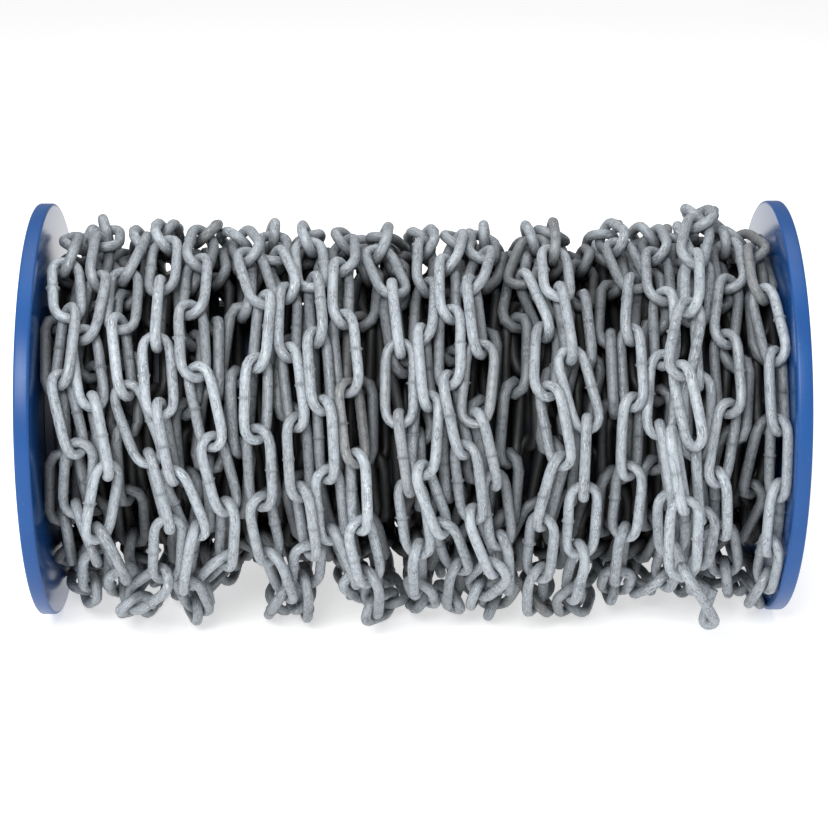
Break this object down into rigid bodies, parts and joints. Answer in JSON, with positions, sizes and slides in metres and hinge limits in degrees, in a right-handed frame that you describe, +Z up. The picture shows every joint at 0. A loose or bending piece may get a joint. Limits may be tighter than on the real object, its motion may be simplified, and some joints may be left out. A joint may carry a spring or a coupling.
{
  "type": "reel of galvanised steel chain",
  "caption": "Long-link galvanised steel chain wound side by side on a blue reel with two round flanges and a spindle bore, its cut end hanging loose.",
  "frame": {"origin": "on the floor under the middle of the whole, reel and loose end; the axle stands 7.7 mm behind it, and the reel lies on the rims of its flanges", "axes": "+Z up, +X along the reel's axle towards the right flange, -Y towards the side where the loose end hangs"},
  "size_m": [0.4478, 0.2648, 0.2495],
  "materials": {
    "reel": "glossy blue moulded plastic",
    "chain": "hot-dip galvanised, matte light grey with darker mottling"
  },
  "bodies": {
    "root": {"flange_left": "reel", "flange_right": "reel", "barrel": "reel", "chain_inner_layers": "chain", "chain_turn_01": "chain", "chain_turn_02": "chain", "chain_turn_03": "chain", "chain_turn_04": "chain", "chain_turn_05": "chain", "chain_turn_06": "chain", "chain_turn_07": "chain", "chain_turn_08": "chain", "chain_turn_09": "chain", "chain_turn_10": "chain", "chain_turn_11": "chain", "chain_turn_12": "chain", "chain_turn_13": "chain", "chain_turn_14": "chain", "chain_turn_15": "chain", "chain_turn_16": "chain", "chain_turn_17": "chain", "chain_turn_18": "chain", "chain_turn_19": "chain", "chain_turn_20": "chain", "chain_end_link_1": "chain", "chain_end_link_2": "chain", "chain_end_link_3": "chain", "chain_end_link_4": "chain", "chain_end_link_5": "chain"}
  },
  "joints": []
}
